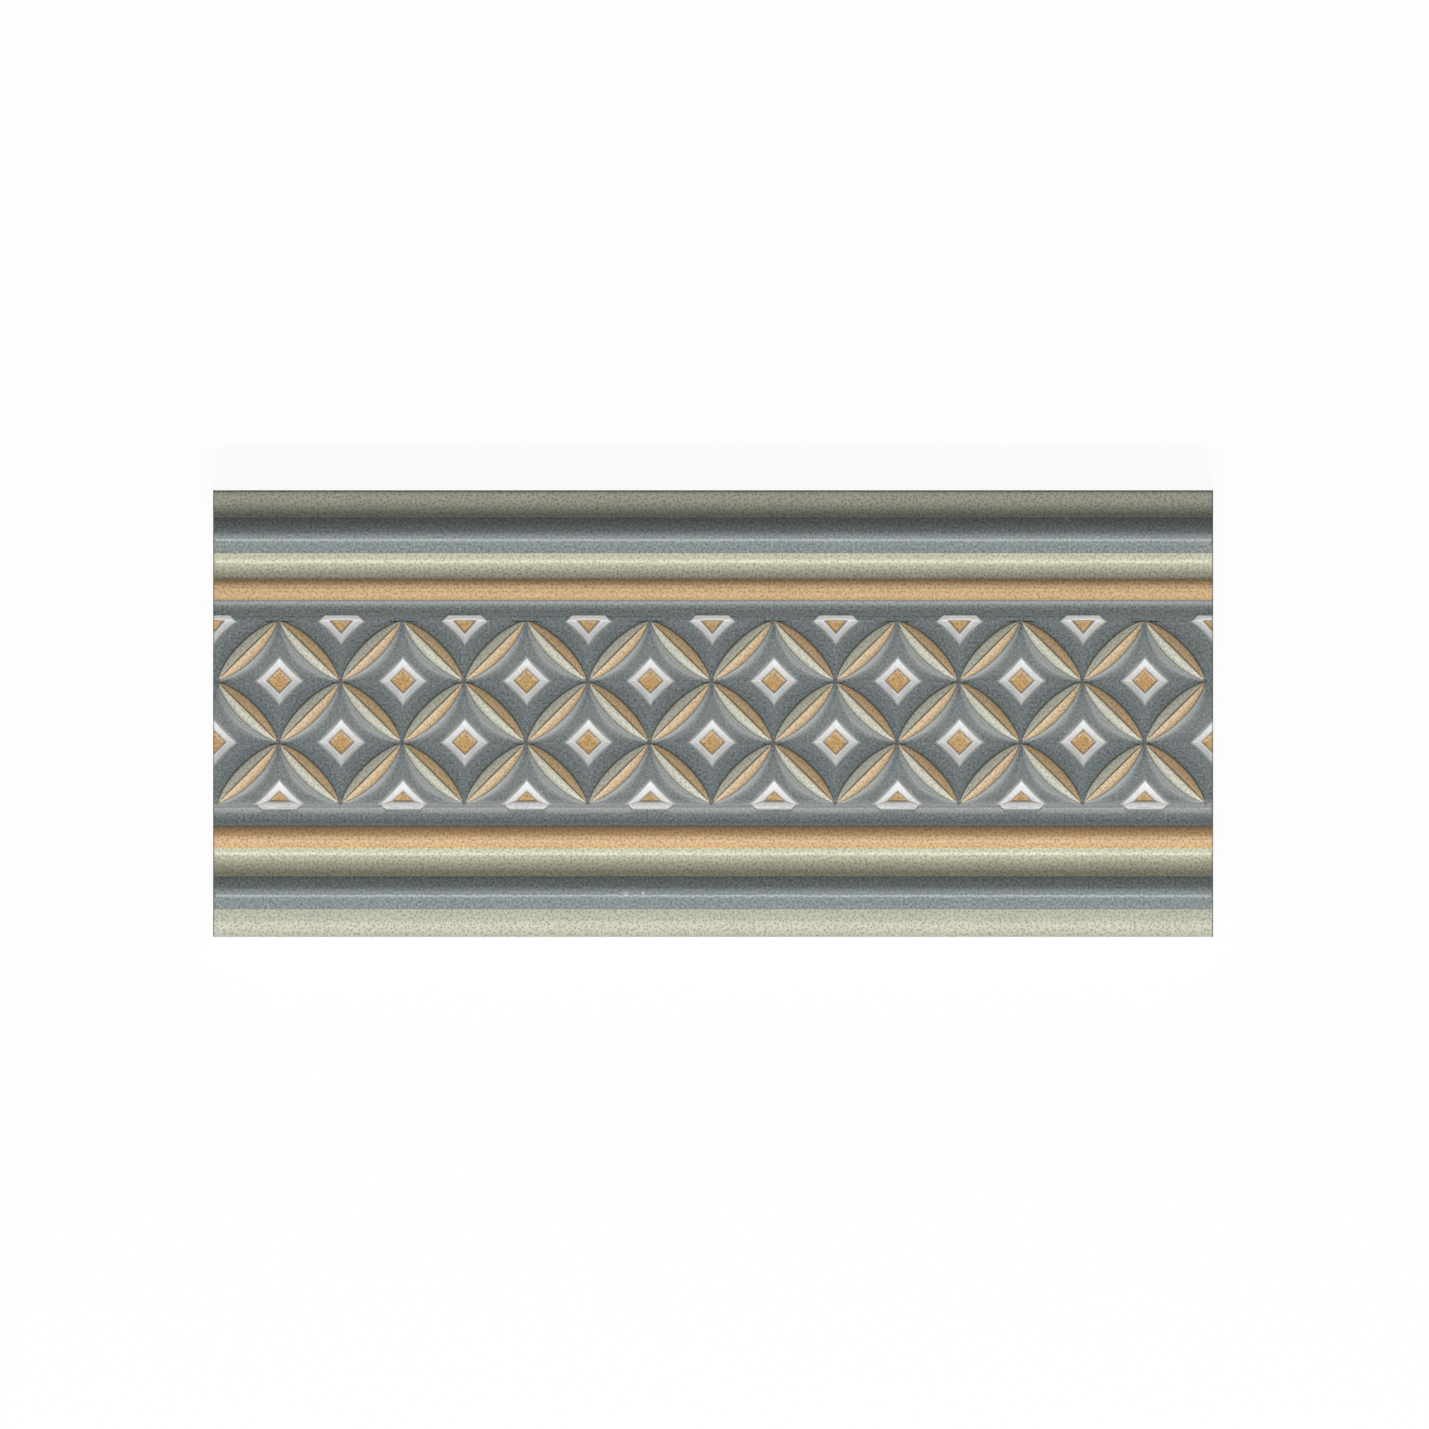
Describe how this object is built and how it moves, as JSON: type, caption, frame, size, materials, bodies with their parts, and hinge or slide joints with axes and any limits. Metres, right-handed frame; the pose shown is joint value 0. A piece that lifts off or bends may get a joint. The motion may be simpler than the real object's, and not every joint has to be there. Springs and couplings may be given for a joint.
{
  "type": "border tile",
  "caption": "Rectangular glazed ceramic border tile with a moulded ridge and bead along both long sides and a panel of raised leaves and sunk diamonds.",
  "frame": {"origin": "middle of the tile's back, on the plane that it rests on or is bedded by", "axes": "+X along the tile's length, +Y across its width, +Z out of the glazed face"},
  "size_m": [0.15, 0.067, 0.0106],
  "materials": {
    "glazed_tile": "satin glaze in slate, sage, ochre and white over a fired body"
  },
  "bodies": {
    "root": {"border_tile": "glazed_tile"}
  },
  "joints": []
}
